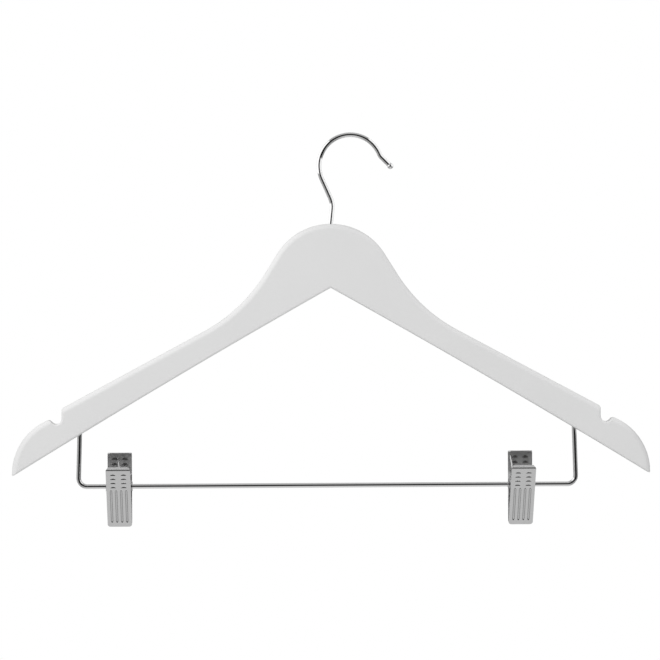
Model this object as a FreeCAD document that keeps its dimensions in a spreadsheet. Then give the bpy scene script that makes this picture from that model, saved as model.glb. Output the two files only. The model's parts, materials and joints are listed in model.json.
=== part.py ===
import FreeCAD, Part
import math
import os
from types import SimpleNamespace

import Sketcher
from FreeCAD import Placement, Rotation, Vector

# Skirt hanger: a flat wooden body of two glued arms, a swivel hook, a wire bar below and two
# spring clips that slide and turn on the bar. X runs to the right, Y to the back, Z up. The origin
# is where the swivel axis meets the inside of the hook, the point that hangs on a rail.

# Driving dimensions, in millimetres and degrees
SIZES = [
    ("overall_width", 445.0, "wooden body, tip to tip"),
    ("arm_thickness", 12.0, "wooden body, front to back"),
    ("hump_radius", 44.2, "round of the neck"),
    ("flank_slope", 58.0, "steepest slope beside the neck"),
    ("flank_run", 46.7, "end of the neck's round to where flank and shoulder would meet"),
    ("sway_radius", 112.0, "hollow curve from flank to shoulder"),
    ("shoulder_slope", 28.2, "slope of the straight shoulder"),
    ("notch_inset", 34.7, "tip to the notch's inner wall, along X"),
    ("notch_depth", 10.9, "inner lip down to the notch's root"),
    ("notch_root", 3.9, "radius of the notch's root"),
    ("notch_width", 8.7, "inner wall to outer lip"),
    ("notch_flare", 45.0, "slope of the notch's outer wall"),
    ("end_radius", 41.0, "round of the arm's end"),
    ("tip_drop", 47.3, "notch's inner lip down to the tip"),
    ("apex_drop", 44.5, "crest down to the apex under the neck"),
    ("lower_bow", 1.3, "upward bow of the lower edge"),
    ("upper_round", 4.0, "rounding of the upper edges"),
    ("lower_round", 1.5, "rounding of the lower edges and the notches"),
    ("tongue_length", 10.0, "left arm's tongue in the right arm"),
    ("tongue_thickness", 4.0, "tongue, front to back"),
    ("hook_wire", 3.2, "diameter of the hook's wire"),
    ("hook_radius", 21.9, "hook's circle, at the middle of the wire"),
    ("hook_offset", 14.0, "swivel axis to the middle of the hook's circle"),
    ("neck_rise", 40.3, "crest up to the middle of the hook's circle"),
    ("neck_lean", 6.0, "lean of the wire just above the wood"),
    ("neck_bend", 16.0, "bend radius between the neck and the hook"),
    ("entry_lean", 24.0, "lean of the wire where it joins the circle"),
    ("mouth_angle", 22.0, "height angle at which the circle ends"),
    ("flare_radius", 6.0, "reverse bend at the hook's mouth"),
    ("flare_slope", 45.0, "slope of the hook's flared end"),
    ("flare_length", 8.8, "straight run to the ball on the tip"),
    ("ball_diameter", 4.2, "ball on the hook's tip"),
    ("bush_diameter", 6.0, "sleeve in the neck, outside"),
    ("bush_length", 14.0, "sleeve in the neck"),
    ("bush_recess", 0.4, "sleeve's top below the crest"),
    ("glue_gap", 0.02, "bores in wood round what is glued into them"),
    ("shank_clearance", 0.05, "hook's shank in its sleeve, on the radius"),
    ("head_diameter", 5.4, "upset head under the sleeve"),
    ("head_thickness", 1.6, "upset head"),
    ("head_play", 0.2, "room above and below the head"),
    ("bar_wire", 3.2, "diameter of the bar's wire"),
    ("bar_drop", 182.3, "crest down to the bar's middle line"),
    ("bar_half_span", 173.6, "middle of the bar to its corner"),
    ("bar_shift", -2.9, "middle of the hanger to the middle of the bar"),
    ("bar_bend", 6.0, "bend radius of the bar's corners, at the middle of the wire"),
    ("leg_splay", 1.7, "lean of the bar's legs"),
    ("leg_depth", 15.0, "leg's end in the wood"),
    ("left_clip_inset", 28.4, "bar's left corner to the left clip"),
    ("right_clip_inset", 38.2, "bar's right corner to the right clip"),
    ("jaw_width", 17.0, "pressed jaw, along the bar"),
    ("jaw_length", 51.0, "pressed jaw, tip to rim"),
    ("jaw_sheet", 0.8, "sheet that the jaws are pressed from"),
    ("jaw_half_angle", 18.5, "half the angle between closed jaws"),
    ("jaw_corner", 2.2, "round of the corners at the tip"),
    ("tip_gap", 0.3, "jaw's tip to the plane where the jaws meet"),
    ("lip_depth", 3.3, "lip bent in along the handle's edge, from the outer face"),
    ("lip_taper", 1.6, "each end of the lip, from root to edge"),
    ("lip_round", 0.9, "outside of the lip's bend"),
    ("pivot_height", 27.9, "tip to the pivot, along the jaw"),
    ("ear_length", 18.0, "root of the ears, along the jaw"),
    ("ear_radius", 4.2, "round of the ears about the pivot"),
    ("ear_gap", 0.3, "between the nested ears, and round the outer ones"),
    ("louvre_rows", 4, "louvres, down the handle"),
    ("louvre_first", 4.8, "rim to the first slot"),
    ("louvre_pitch", 3.7, "slot to slot, down the handle"),
    ("louvre_spread", 7.4, "column to column"),
    ("louvre_width", 4.6, "louvre's hood, along its slot"),
    ("louvre_rise", 1.4, "hood beyond the sheet's inner face"),
    ("louvre_wall", 0.3, "wall of the hood"),
    ("flute_count", 4, "flutes, side by side"),
    ("flute_pitch", 3.5, "flute to flute"),
    ("flute_radius", 1.2, "round of a flute's hollow"),
    ("flute_depth", 0.4, "flute"),
    ("flute_gap", 2.5, "last louvre's slot to the flutes' upper ends"),
    ("flute_foot", 4.2, "tip to the flutes' lower ends"),
    ("dot_diameter", 0.9, "dimple at each end of a flute"),
    ("dot_depth", 0.6, "dimple"),
    ("bar_clearance", 0.05, "pivot tube on the bar, on the radius"),
    ("tube_wall", 0.4, "wall of the pivot tube"),
    ("tube_clearance", 0.05, "ears on the pivot tube, on the radius"),
    ("flange_diameter", 6.6, "rolled end of the pivot tube"),
    ("flange_thickness", 0.6, "rolled end of the pivot tube"),
    ("flange_play", 0.1, "rolled end to the outer ear"),
    ("spring_wire", 1.0, "wire of the torsion spring"),
    ("spring_clearance", 0.35, "coils round the pivot tube, on the radius"),
    ("spring_gap", 0.5, "between the turns"),
    ("spring_turns", 2, "whole turns"),
    ("leg_short", 3.5, "rim to the end of a spring's leg, along the jaw"),
    ("leg_clearance", 0.1, "leg's end to the handle that it presses"),
    ("left_spring_shift", 2.9, "left spring along its tube, its back leg between the louvres"),
    ("right_spring_shift", -2.9, "right spring along its tube, its front leg between the louvres"),
    ("pad_start", 1.0, "tip to the pad's lower edge"),
    ("pad_length", 8.0, "grip pad, along the jaw"),
    ("pad_side", 1.0, "jaw's side to the pad's side"),
    ("pad_gap", 0.2, "between the closed pads"),
]

doc = FreeCAD.newDocument("skirt_hanger")
sheet = doc.addObject("Spreadsheet::Sheet", "Sizes")
for row, (alias, value, note) in enumerate(SIZES, start=1):
    sheet.set(f"A{row}", note)
    sheet.set(f"B{row}", str(value))
    sheet.setAlias(f"B{row}", alias)
doc.recompute()
dim = SimpleNamespace(**{alias: float(sheet.get(alias)) for alias, value, note in SIZES})

RIGHT, LEFT = 1, -1
nodes = []


# Plane geometry: points are Vectors in a sketch's own plane

def polar(angle, radius=1.0):
    """The point at an angle in degrees and a distance from the origin."""
    return Vector(math.cos(math.radians(angle)), math.sin(math.radians(angle)), 0) * radius


def bowed(start, end, bow):
    """The middle of an arc that bows to the left of the way from start to end."""
    way = (end - start).normalize()
    return (start + end) * 0.5 + Vector(-way.y, way.x, 0) * bow


def bow_of(start, end, radius):
    """How far an arc of this radius stands off its chord."""
    half = (end - start).Length / 2
    return radius - math.sqrt(radius**2 - half**2)


def crossing(p, p_way, q, q_way):
    """Where the line through p and the line through q cross."""
    gap = q - p
    along = (gap.x * q_way.y - gap.y * q_way.x) / (p_way.x * q_way.y - p_way.y * q_way.x)
    return p + p_way * along


def rounded_corner(before, corner, after, radius):
    """Start, middle and end of the arc that rounds a corner."""
    back = (before - corner).normalize()
    ahead = (after - corner).normalize()
    half = back.getAngle(ahead) / 2
    centre = corner + (back + ahead).normalize() * (radius / math.sin(half))
    middle = centre + (corner - centre).normalize() * radius
    tangent = radius / math.tan(half)
    return corner + back * tangent, middle, corner + ahead * tangent


# Sketches: a chain of steps, each (start, end) for a line or (start, middle, end) for an arc

def new_body(label):
    """An empty body that becomes one sub-part."""
    body = doc.addObject("PartDesign::Body", label)
    body.Label = label
    nodes.append(body)
    return body


def new_sketch(body, name, plane, offset=None):
    """A sketch on one of the body's own origin planes."""
    sketch = body.newObject("Sketcher::SketchObject", name)
    role = next(item for item in body.Origin.OriginFeatures if item.Role == plane)
    sketch.AttachmentSupport = [(role, "")]
    sketch.MapMode = "FlatFace"
    if offset:
        sketch.AttachmentOffset = offset
    return sketch


def draw(sketch, steps, closed=True):
    """Draw a chain of lines and arcs and tie each end to the next start."""
    ends = []
    for step in steps:
        if len(step) == 2:
            index = sketch.addGeometry(Part.LineSegment(*step))
        else:
            index = sketch.addGeometry(Part.Arc(*step))
        forward = sketch.getPoint(index, 1).isEqual(step[0], 1e-6)
        ends.append((index, 1, 2) if forward else (index, 2, 1))
    for here, there in zip(ends, ends[1:] + ends[:1] if closed else ends[1:]):
        sketch.addConstraint(Sketcher.Constraint("Coincident", here[0], here[2], there[0], there[1]))


def draw_circle(sketch, radius_rule, centre=Vector()):
    """Draw a circle whose radius follows a rule on the sheet."""
    index = sketch.addGeometry(Part.Circle(centre, Vector(0, 0, 1), 1.0))
    rule = sketch.addConstraint(Sketcher.Constraint("Radius", index, 1.0))
    sketch.setExpression(f"Constraints[{rule}]", radius_rule)


def tangent_point(outside, radius):
    """Where the line from a point touches a circle about the origin, on its clockwise side."""
    towards = math.degrees(math.atan2(outside.y, outside.x))
    return polar(towards - math.degrees(math.acos(radius / outside.Length)), radius)


def polygon(*corners):
    """The steps of a closed outline of straight lines."""
    points = [Vector(x, y, 0) for x, y in corners]
    return list(zip(points, points[1:] + points[:1]))


def add_pad(body, name, sketch, rule, both_sides=False):
    """Raise a sketch by a length that follows a rule on the sheet."""
    pad = body.newObject("PartDesign::Pad", name)
    pad.Profile = sketch
    pad.SideType = "Symmetric" if both_sides else "One side"
    pad.setExpression("Length", rule)
    doc.recompute()
    return pad


def add_pocket(body, name, sketch, rule, both_sides=False):
    """Cut a sketch in by a length that follows a rule on the sheet, and see that it cuts."""
    before = body.Shape.Volume
    pocket = body.newObject("PartDesign::Pocket", name)
    pocket.Profile = sketch
    pocket.SideType = "Symmetric" if both_sides else "One side"
    pocket.setExpression("Length", rule)
    doc.recompute()
    if body.Shape.Volume >= before:
        raise RuntimeError(f"{body.Label}: {name} cuts nothing")
    return pocket


def add_cylinder(body, kind, name, radius_rule, height_rule, placement):
    """Add or cut a cylinder that stands along its placement's Z."""
    cylinder = body.newObject(f"PartDesign::{kind}Cylinder", name)
    cylinder.setExpression("Radius", radius_rule)
    cylinder.setExpression("Height", height_rule)
    cylinder.Placement = placement
    doc.recompute()
    return cylinder


def add_wire(body, steps, diameter_rule, start_lean=0.0):
    """Sweep round wire along a chain of steps that starts upright, or leaning."""
    path = new_sketch(body, "path", "XZ_Plane")
    draw(path, steps, closed=False)
    start = Vector(steps[0][0].x, 0, steps[0][0].y)
    lean = Rotation(Vector(0, 1, 0), start_lean)
    section = new_sketch(body, "section", "XY_Plane", Placement(start, lean))
    draw_circle(section, f"{diameter_rule} / 2")
    pipe = body.newObject("PartDesign::AdditivePipe", "wire")
    pipe.Profile = section
    pipe.Spine = (path, [f"Edge{number}" for number in range(1, len(steps) + 1)])
    doc.recompute()


# Levels and places that several pieces share
hook_inside = dim.hook_radius - dim.hook_wire / 2
hook_centre = Vector(dim.hook_offset, -math.sqrt(hook_inside**2 - dim.hook_offset**2), 0)
crest = Vector(0, hook_centre.y - dim.neck_rise, 0)
apex = crest - Vector(0, dim.apex_drop, 0)
hump_centre = crest - Vector(0, dim.hump_radius, 0)
hump_end = hump_centre + polar(90 - dim.flank_slope, dim.hump_radius)
shoulder_corner = hump_end + polar(-dim.flank_slope, dim.flank_run)
shoulder_run = dim.overall_width / 2 - dim.notch_inset - shoulder_corner.x
shoulder_fall = shoulder_run * math.tan(math.radians(dim.shoulder_slope))
inner_lip = shoulder_corner + Vector(shoulder_run, -shoulder_fall, 0)
tip = inner_lip + Vector(dim.notch_inset, -dim.tip_drop, 0)
bar_level = crest.y - dim.bar_drop
bush_foot = crest.y - dim.bush_recess - dim.bush_length
head_top = bush_foot - dim.head_play
lower_middle = bowed(tip, apex, -dim.lower_bow)
lower_circle = Part.Circle(tip, lower_middle, apex)


def lower_edge(x):
    """The point of the right arm's lower edge at a distance from the middle."""
    rise = math.sqrt(lower_circle.Radius**2 - (x - lower_circle.Center.x) ** 2)
    side = 1 if lower_middle.y > lower_circle.Center.y else -1
    return Vector(x, lower_circle.Center.y + side * rise, 0)


def hump_edge(x):
    """The point of the neck's round at a distance from the middle."""
    return Vector(x, hump_centre.y + math.sqrt(dim.hump_radius**2 - x**2), 0)


def arm_outline():
    """Upper and lower steps of the right arm's outline, from the crest round to the apex."""
    hump_middle = hump_centre + polar(90 - dim.flank_slope / 2, dim.hump_radius)
    sway = rounded_corner(hump_end, shoulder_corner, inner_lip, dim.sway_radius)
    root = inner_lip + Vector(dim.notch_root, dim.notch_root - dim.notch_depth, 0)
    root_start = root + polar(180, dim.notch_root)
    root_middle = root + polar(225 + dim.notch_flare / 2, dim.notch_root)
    root_end = root + polar(270 + dim.notch_flare, dim.notch_root)
    lip_line = inner_lip + Vector(dim.notch_width, 0, 0)
    outer_lip = crossing(root_end, polar(dim.notch_flare), lip_line, Vector(0, 1, 0))
    end_middle = bowed(outer_lip, tip, bow_of(outer_lip, tip, dim.end_radius))
    upper = [
        (crest, hump_middle, hump_end),
        (hump_end, sway[0]),
        sway,
        (sway[2], inner_lip),
        (outer_lip, end_middle, tip),
    ]
    lower = [
        (inner_lip, root_start),
        (root_start, root_middle, root_end),
        (root_end, outer_lip),
        (tip, lower_middle, apex),
    ]
    return upper, lower


def mirrored(steps, side):
    """The same steps on the right, or turned over to the left."""
    return [tuple(Vector(side * p.x, p.y, 0) for p in step) for step in steps]


def bar_leg(side):
    """The corner and the top end of the bar's leg on one side, worked out as if on the right."""
    corner = Vector(dim.bar_half_span + side * dim.bar_shift, bar_level, 0)
    way = polar(90 + dim.leg_splay)
    entry = crossing(corner, way, tip, apex - tip)
    top = lower_edge(entry.x) + way * dim.leg_depth
    return mirrored([(corner, top)], side)[0]


def edges_along(shape, steps, depth):
    """Names of the edges at the front and back of a pad that follow some steps."""
    names = []
    for step in steps:
        middle = step[1] if len(step) == 3 else (step[0] + step[1]) * 0.5
        for y in (-depth, depth):
            spot = Part.Vertex(middle.x, y, middle.y)
            nearest = min(range(len(shape.Edges)), key=lambda i: shape.Edges[i].distToShape(spot)[0])
            names.append(f"Edge{nearest + 1}")
    return names


def add_fillet(body, name, base, steps, rule):
    """Round the front and back edges that follow some steps."""
    fillet = body.newObject("PartDesign::Fillet", name)
    fillet.Base = (base, edges_along(base.Shape, steps, dim.arm_thickness / 2))
    fillet.setExpression("Radius", rule)
    doc.recompute()
    return fillet


# Wooden arms

def make_arm(label, side):
    """One arm: padded outline, rounded edges, a tongue or a slot, and the bores."""
    body = new_body(label)
    upper, lower = (mirrored(steps, side) for steps in arm_outline())
    outline = new_sketch(body, "outline", "XZ_Plane")
    draw(outline, upper[:4] + lower[:3] + upper[4:] + lower[3:] + mirrored([(apex, crest)], side))
    blank = add_pad(body, "blank", outline, "Sizes.arm_thickness", both_sides=True)
    rounded = add_fillet(body, "upper_edges", blank, upper, "Sizes.upper_round")
    add_fillet(body, "lower_edges", rounded, lower, "Sizes.lower_round")
    if side == LEFT:
        add_tongue(body)
    else:
        add_slot(body)
    add_neck_bores(body)
    add_leg_bore(body, side)


def add_tongue(body):
    """The left arm's tongue, which fills the slot of the right arm."""
    top = hump_edge(dim.tongue_length)
    bottom = lower_edge(dim.tongue_length)
    tongue = new_sketch(body, "tongue_outline", "XZ_Plane")
    draw(tongue, [
        (crest, hump_edge(dim.tongue_length / 2), top),
        (top, bottom),
        (bottom, lower_edge(dim.tongue_length / 2), apex),
        (apex, crest),
    ])
    add_pad(body, "tongue", tongue, "Sizes.tongue_thickness", both_sides=True)


def add_slot(body):
    """The right arm's slot for the tongue."""
    slot = new_sketch(body, "slot_outline", "XZ_Plane")
    low = lower_edge(dim.tongue_length).y - dim.arm_thickness
    high = crest.y + dim.arm_thickness
    draw(slot, polygon((0, low), (dim.tongue_length, low), (dim.tongue_length, high), (0, high)))
    add_pocket(body, "slot", slot, "Sizes.tongue_thickness", both_sides=True)


def add_neck_bores(body):
    """The bore for the sleeve, and the wider room for the head under it."""
    bush_rule = "Sizes.bush_diameter / 2 + Sizes.glue_gap"
    length_rule = "Sizes.bush_length + Sizes.bush_recess + Sizes.upper_round"
    foot = Placement(Vector(0, 0, bush_foot), Rotation())
    add_cylinder(body, "Subtractive", "bush_bore", bush_rule, length_rule, foot)
    room_rule = "Sizes.head_thickness + 2 * Sizes.head_play"
    floor = Placement(Vector(0, 0, head_top - dim.head_thickness - dim.head_play), Rotation())
    add_cylinder(body, "Subtractive", "head_room", bush_rule, room_rule, floor)


def add_leg_bore(body, side):
    """The blind bore that the bar's leg is glued into."""
    corner, top = bar_leg(side)
    way = (top - corner).normalize()
    end = top + way * dim.glue_gap
    placement = Placement(Vector(end.x, 0, end.y), Rotation(Vector(0, 0, 1), Vector(-way.x, 0, -way.y)))
    rule = "Sizes.bar_wire / 2 + Sizes.glue_gap"
    add_cylinder(body, "Subtractive", "leg_bore", rule, "Sizes.leg_depth + Sizes.bar_wire", placement)


# Hook and the sleeve it turns in

def make_hook():
    """The hook's bent wire, with the ball on its tip and the head on its shank."""
    body = new_body("hook")
    shank_foot = Vector(0, head_top, 0)
    entry = hook_centre + polar(180 + dim.entry_lean, dim.hook_radius)
    bend = crossing(crest, polar(90 - dim.neck_lean), entry, polar(90 + dim.entry_lean))
    lean_in = rounded_corner(shank_foot, crest, bend, dim.neck_bend)
    lean_out = rounded_corner(crest, bend, entry, dim.neck_bend)
    mouth = hook_centre + polar(dim.mouth_angle, dim.hook_radius)
    crown = hook_centre + polar(90 + (dim.entry_lean + dim.mouth_angle) / 2, dim.hook_radius)
    turn_centre = mouth + polar(dim.mouth_angle, dim.flare_radius)
    flare_middle = turn_centre + polar(180 + (dim.mouth_angle + dim.flare_slope) / 2, dim.flare_radius)
    flare_start = turn_centre + polar(270 - dim.flare_slope, dim.flare_radius)
    ball = flare_start + polar(-dim.flare_slope, dim.flare_length)
    add_wire(body, [
        (shank_foot, lean_in[0]),
        lean_in,
        (lean_in[2], lean_out[0]),
        lean_out,
        (lean_out[2], entry),
        (entry, crown, mouth),
        (mouth, flare_middle, flare_start),
        (flare_start, ball),
    ], "Sizes.hook_wire")
    sphere = body.newObject("PartDesign::AdditiveSphere", "ball")
    sphere.setExpression("Radius", "Sizes.ball_diameter / 2")
    sphere.Placement = Placement(Vector(ball.x, 0, ball.y), Rotation())
    doc.recompute()
    seat = Placement(Vector(0, 0, head_top - dim.head_thickness), Rotation())
    add_cylinder(body, "Additive", "head", "Sizes.head_diameter / 2", "Sizes.head_thickness", seat)


def make_bush():
    """The plain sleeve in the neck."""
    body = new_body("hook_bush")
    section = new_sketch(body, "section", "XY_Plane", Placement(Vector(0, 0, bush_foot), Rotation()))
    draw_circle(section, "Sizes.bush_diameter / 2")
    draw_circle(section, "Sizes.hook_wire / 2 + Sizes.shank_clearance")
    add_pad(body, "sleeve", section, "Sizes.bush_length")


# Bar

def make_bar():
    """The U of wire: two legs, two corners and the run that carries the clips."""
    body = new_body("skirt_bar")
    corner, top = bar_leg(RIGHT)
    far_corner, far_top = bar_leg(LEFT)
    near_bend = rounded_corner(top, corner, far_corner, dim.bar_bend)
    far_bend = rounded_corner(corner, far_corner, far_top, dim.bar_bend)
    add_wire(body, [
        (top, near_bend[0]),
        near_bend,
        (near_bend[2], far_bend[0]),
        far_bend,
        (far_bend[2], far_top),
    ], "Sizes.bar_wire", start_lean=-dim.leg_splay)


# Clips. A jaw is drawn upright in front of its pivot: X along the bar, Z up the jaw, the pivot at
# the origin, and the sheet's inner face at a depth behind which the pivot lies.
jaw_lean = math.radians(dim.jaw_half_angle)
pivot_depth = dim.pivot_height * math.tan(jaw_lean) + dim.tip_gap / math.cos(jaw_lean)
jaw_foot = -dim.pivot_height
jaw_head = jaw_foot + dim.jaw_length
outer_face = -pivot_depth - dim.jaw_sheet
tube_inside = dim.bar_wire / 2 + dim.bar_clearance
tube_outside = tube_inside + dim.tube_wall
EAR_HOLE = "Sizes.bar_wire / 2 + Sizes.bar_clearance + Sizes.tube_wall + Sizes.tube_clearance"


def on_face(depth):
    """The offset that puts a sketch of the upright plane at a depth from the pivot."""
    return Placement(Vector(0, 0, -depth), Rotation())


def make_jaw(label, placement, ear_inset):
    """One pressed jaw: sheet, bent lip, ears, louvres and flutes."""
    body = new_body(label)
    add_sheet(body)
    add_ears(body, ear_inset)
    add_lip(body)
    add_louvres(body)
    add_flutes(body)
    body.Placement = placement


def add_sheet(body):
    """The flat sheet with its two rounded corners at the tip."""
    half = dim.jaw_width / 2
    top = jaw_head - dim.lip_round
    low_left, low_right = Vector(-half, jaw_foot, 0), Vector(half, jaw_foot, 0)
    high_left, high_right = Vector(-half, top, 0), Vector(half, top, 0)
    left_round = rounded_corner(high_left, low_left, low_right, dim.jaw_corner)
    right_round = rounded_corner(low_left, low_right, high_right, dim.jaw_corner)
    sketch = new_sketch(body, "sheet_outline", "XZ_Plane", on_face(-pivot_depth))
    draw(sketch, [
        left_round,
        (left_round[2], right_round[0]),
        right_round,
        (right_round[2], high_right),
        (high_right, high_left),
        (high_left, left_round[0]),
    ])
    add_pad(body, "sheet", sketch, "Sizes.jaw_sheet")


def add_ears(body, inset):
    """The two ears, bent in from the sides. Inset ears step inwards, to nest in the other jaw's."""
    outside = dim.jaw_width / 2
    inside = outside - dim.jaw_sheet
    step = -dim.ear_radius - dim.ear_gap
    reach = dim.ear_radius + dim.jaw_sheet
    profile = new_sketch(body, "ear_profile", "XY_Plane")
    for side in (LEFT, RIGHT):
        draw(profile, polygon(
            (side * outside, outer_face), (side * outside, -pivot_depth),
            (side * (outside - inset), step), (side * (outside - inset), reach),
            (side * (inside - inset), reach), (side * (inside - inset), step),
            (side * inside, -pivot_depth), (side * inside, outer_face)))
    add_pad(body, "ears", profile, "Sizes.ear_length", both_sides=True)
    high = dim.ear_length / 2 + dim.jaw_sheet
    root = Vector(outer_face, dim.ear_length / 2, 0)
    touch = tangent_point(root, dim.ear_radius)
    start = crossing(root, touch - root, Vector(-pivot_depth, 0, 0), Vector(0, 1, 0))
    low_touch, low_start = Vector(touch.x, -touch.y, 0), Vector(start.x, -start.y, 0)
    frame = [low_start, Vector(start.x, -high, 0), Vector(reach, -high, 0),
             Vector(reach, high, 0), Vector(start.x, high, 0), start]
    outline = new_sketch(body, "ear_outline", "YZ_Plane")
    draw(outline, [
        (start, touch),
        (touch, Vector(dim.ear_radius, 0, 0), low_touch),
        (low_touch, low_start),
        *zip(frame, frame[1:]),
    ])
    draw_circle(outline, EAR_HOLE)
    add_pocket(body, "ear_trim", outline, "2 * Sizes.jaw_width", both_sides=True)


def add_lip(body):
    """The lip bent in along the handle's edge, narrower towards its free edge."""
    half = dim.jaw_width / 2
    edge = outer_face + dim.lip_depth
    bend = Vector(outer_face, jaw_head, 0)
    bend_start, bend_middle, bend_end = rounded_corner(
        Vector(outer_face, jaw_foot, 0), bend, Vector(edge, jaw_head, 0), dim.lip_round)
    inner_corner = Vector(outer_face + dim.jaw_sheet, jaw_head - dim.jaw_sheet, 0)
    edge_top, edge_low = Vector(edge, jaw_head, 0), Vector(edge, jaw_head - dim.jaw_sheet, 0)
    root = Vector(inner_corner.x, bend_start.y, 0)
    section = new_sketch(body, "lip_section", "YZ_Plane")
    draw(section, [
        (bend_start, bend_middle, bend_end),
        (bend_end, edge_top),
        (edge_top, edge_low),
        (edge_low, inner_corner),
        (inner_corner, root),
        (root, bend_start),
    ])
    add_pad(body, "lip", section, "Sizes.jaw_width", both_sides=True)
    ends = new_sketch(body, "lip_ends", "XY_Plane", Placement(Vector(0, 0, jaw_head), Rotation()))
    for side in (LEFT, RIGHT):
        root_end = Vector(side * half, outer_face, 0)
        free_end = Vector(side * (half - dim.lip_taper), edge, 0)
        corner = Vector(side * half, edge, 0)
        draw(ends, [(root_end, free_end), (free_end, corner), (corner, root_end)])
    add_pocket(body, "lip_trim", ends, "Sizes.lip_round")


def add_louvres(body):
    """Two columns of hooded slots, pressed inwards: a hood, its slot and its hollow, repeated."""
    slot = jaw_head - dim.louvre_first
    column = -dim.louvre_spread / 2
    half = dim.louvre_width / 2
    hollow_half = half - dim.louvre_wall
    hollow_rise = dim.louvre_rise - dim.louvre_wall

    def quarter_dome(kind, name, half, rise):
        outline = new_sketch(body, name + "_outline", "XY_Plane",
                             Placement(Vector(column, -pivot_depth, slot), Rotation()))
        left, right = Vector(-half, 0, 0), Vector(half, 0, 0)
        draw(outline, [(left, Vector(0, rise, 0), right), (right, left)])
        dome = body.newObject("PartDesign::" + kind, name)
        dome.Profile = outline
        dome.ReferenceAxis = (outline, ["H_Axis"])
        dome.Angle = 90
        doc.recompute()
        return dome

    hood = quarter_dome("Revolution", "hood", half, dim.louvre_rise)
    opening = new_sketch(body, "slot_outline", "XZ_Plane", on_face(outer_face))
    left, right = (Vector(column + side * hollow_half, slot, 0) for side in (LEFT, RIGHT))
    draw(opening, [(left, Vector(column, slot + hollow_rise, 0), right), (right, left)])
    cut = add_pocket(body, "slot", opening, "Sizes.jaw_sheet")
    hollow = quarter_dome("Groove", "hollow", hollow_half, hollow_rise)
    repeat = body.newObject("PartDesign::LinearPattern", "louvres")
    repeat.Originals = [hood, cut, hollow]
    repeat.Direction = (hood.Profile[0], ["N_Axis"])
    repeat.Reversed = True
    repeat.setExpression("Length", "Sizes.louvre_pitch * (Sizes.louvre_rows - 1)")
    repeat.setExpression("Occurrences", "Sizes.louvre_rows")
    repeat.Direction2 = (hood.Profile[0], ["H_Axis"])
    repeat.setExpression("Length2", "Sizes.louvre_spread")
    repeat.Occurrences2 = 2
    body.Tip = repeat
    doc.recompute()


def add_flutes(body):
    """The upright flutes down the jaw: round hollows with round ends and a dimple at each end."""
    first = -dim.flute_pitch * (dim.flute_count - 1) / 2
    top = jaw_head - dim.louvre_first - dim.louvre_pitch * (dim.louvre_rows - 1) - dim.flute_gap
    bottom = jaw_foot + dim.flute_foot
    axis = outer_face + dim.flute_depth - dim.flute_radius
    end_inset = math.sqrt(dim.flute_radius**2 - (dim.flute_radius - dim.flute_depth) ** 2)
    low, high = bottom + end_inset, top - end_inset
    inset_rule = "sqrt(Sizes.flute_radius ^ 2 - (Sizes.flute_radius - Sizes.flute_depth) ^ 2)"
    louvres_rule = "Sizes.louvre_first + Sizes.louvre_pitch * (Sizes.louvre_rows - 1)"
    run_rule = f"Sizes.jaw_length - Sizes.flute_foot - Sizes.flute_gap - ({louvres_rule}) - 2 * {inset_rule}"
    foot = Placement(Vector(first, axis, low), Rotation())
    cuts = [add_cylinder(body, "Subtractive", "flute", "Sizes.flute_radius", run_rule, foot)]
    for name, z in (("flute_foot", low), ("flute_head", high)):
        ball = body.newObject("PartDesign::SubtractiveSphere", name)
        ball.setExpression("Radius", "Sizes.flute_radius")
        ball.Placement = Placement(Vector(first, axis, z), Rotation())
        doc.recompute()
        cuts.append(ball)
    dots = new_sketch(body, "dot_outline", "XZ_Plane", on_face(outer_face))
    for z in (top, bottom):
        draw_circle(dots, "Sizes.dot_diameter / 2", Vector(first, z, 0))
    cuts.append(add_pocket(body, "dots", dots, "Sizes.dot_depth"))
    repeat = body.newObject("PartDesign::LinearPattern", "flutes")
    repeat.Originals = cuts
    repeat.Direction = (dots, ["H_Axis"])
    repeat.setExpression("Length", "Sizes.flute_pitch * (Sizes.flute_count - 1)")
    repeat.setExpression("Occurrences", "Sizes.flute_count")
    body.Tip = repeat
    doc.recompute()


def make_pad(label, placement):
    """The wedge-shaped grip pad in a jaw's tip, flat against its twin when the jaws close."""
    body = new_body(label)
    low = jaw_foot + dim.pad_start
    high = low + dim.pad_length
    back_off = dim.pad_gap / 2 / math.cos(jaw_lean)
    meet_low, meet_high = (z * math.tan(jaw_lean) - back_off for z in (low, high))
    sketch = new_sketch(body, "wedge", "YZ_Plane")
    draw(sketch, polygon((-pivot_depth, low), (meet_low, low), (meet_high, high), (-pivot_depth, high)))
    add_pad(body, "pad", sketch, "Sizes.jaw_width - 2 * Sizes.pad_side", both_sides=True)
    body.Placement = placement


def make_pivot_tube(label, place):
    """The hollow rivet on the bar, with a rolled end outside each outer ear."""
    body = new_body(label)
    neck = dim.jaw_width / 2 + dim.flange_play
    end = neck + dim.flange_thickness
    flange = dim.flange_diameter / 2
    sketch = new_sketch(body, "wall", "XZ_Plane")
    draw(sketch, polygon(
        (-end, tube_inside), (end, tube_inside), (end, flange), (neck, flange),
        (neck, tube_outside), (-neck, tube_outside), (-neck, flange), (-end, flange)))
    turned = body.newObject("PartDesign::Revolution", "tube")
    turned.Profile = sketch
    turned.ReferenceAxis = (sketch, ["H_Axis"])
    turned.Angle = 360
    body.Placement = Placement(place, Rotation())
    doc.recompute()


# Torsion spring: a leg down from one handle, turns round the pivot tube, a leg up to the other

def arc_on(start, way, end):
    """The arc that leaves start along a way and reaches end, and the way it arrives."""
    chord = end - start
    half = way.getAngle(chord)
    peak = start + way * (chord.Length / 2 / math.cos(half))
    middle = (start + end) * 0.5
    sag = chord.Length / 2 * math.tan(half / 2)
    return Part.Arc(start, middle + (peak - middle).normalize() * sag, end), (end - peak).normalize()


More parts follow.
